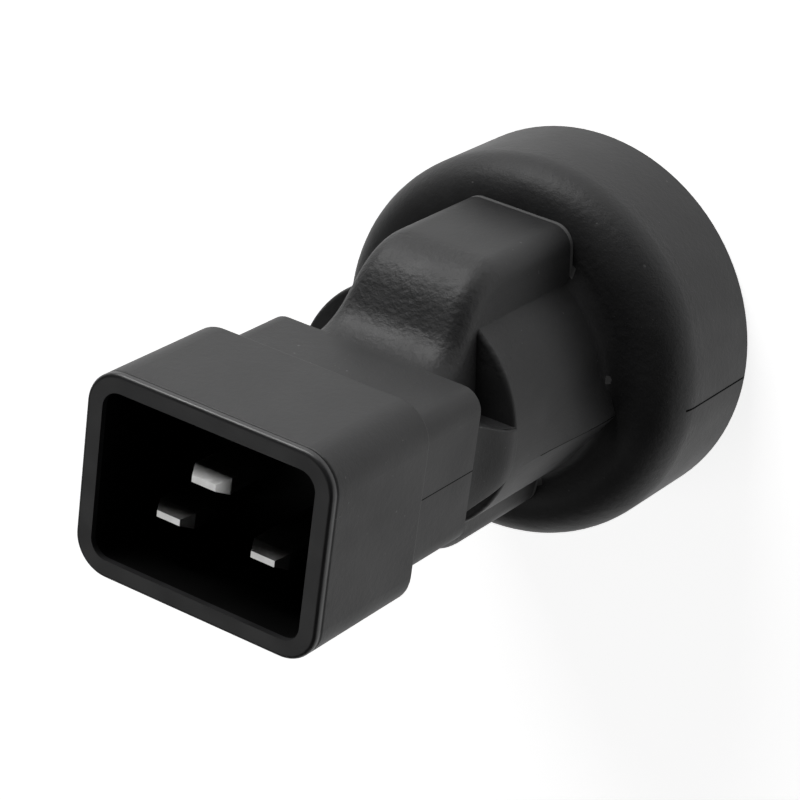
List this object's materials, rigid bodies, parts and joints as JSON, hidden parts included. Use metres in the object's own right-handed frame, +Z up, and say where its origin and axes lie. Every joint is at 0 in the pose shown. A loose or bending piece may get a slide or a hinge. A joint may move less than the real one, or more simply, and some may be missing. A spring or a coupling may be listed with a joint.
{
  "type": "power plug adapter",
  "caption": "Moulded power adapter with a rectangular recessed pin inlet at one end and a round recessed earthed socket at the other, joined by a waisted hub with humps.",
  "frame": {"origin": "centre of the round socket's rim plane, on which the adapter stands", "axes": "+Z up along the adapter's axis to the inlet, +X along the inlet's long side, +Y along its short side towards the earth pin"},
  "size_m": [0.0498, 0.0498, 0.081],
  "materials": {
    "soft_moulding": "fine satin grain, soft black moulding",
    "hard_plastic": "smooth satin black",
    "plated_pin": "nickel plated, fine drawn grain",
    "spring_contact": "bare rolled strip",
    "line_insulation": "satin",
    "neutral_insulation": "satin",
    "earth_insulation": "satin"
  },
  "bodies": {
    "root": {"overmould_body": "soft_moulding", "inlet_insert": "hard_plastic", "socket_insert": "hard_plastic", "line_pin": "plated_pin", "neutral_pin": "plated_pin", "earth_pin": "plated_pin", "line_contact": "spring_contact", "neutral_contact": "spring_contact", "earth_strap": "spring_contact", "line_lead": "line_insulation", "neutral_lead": "neutral_insulation", "earth_lead": "earth_insulation"}
  },
  "joints": []
}
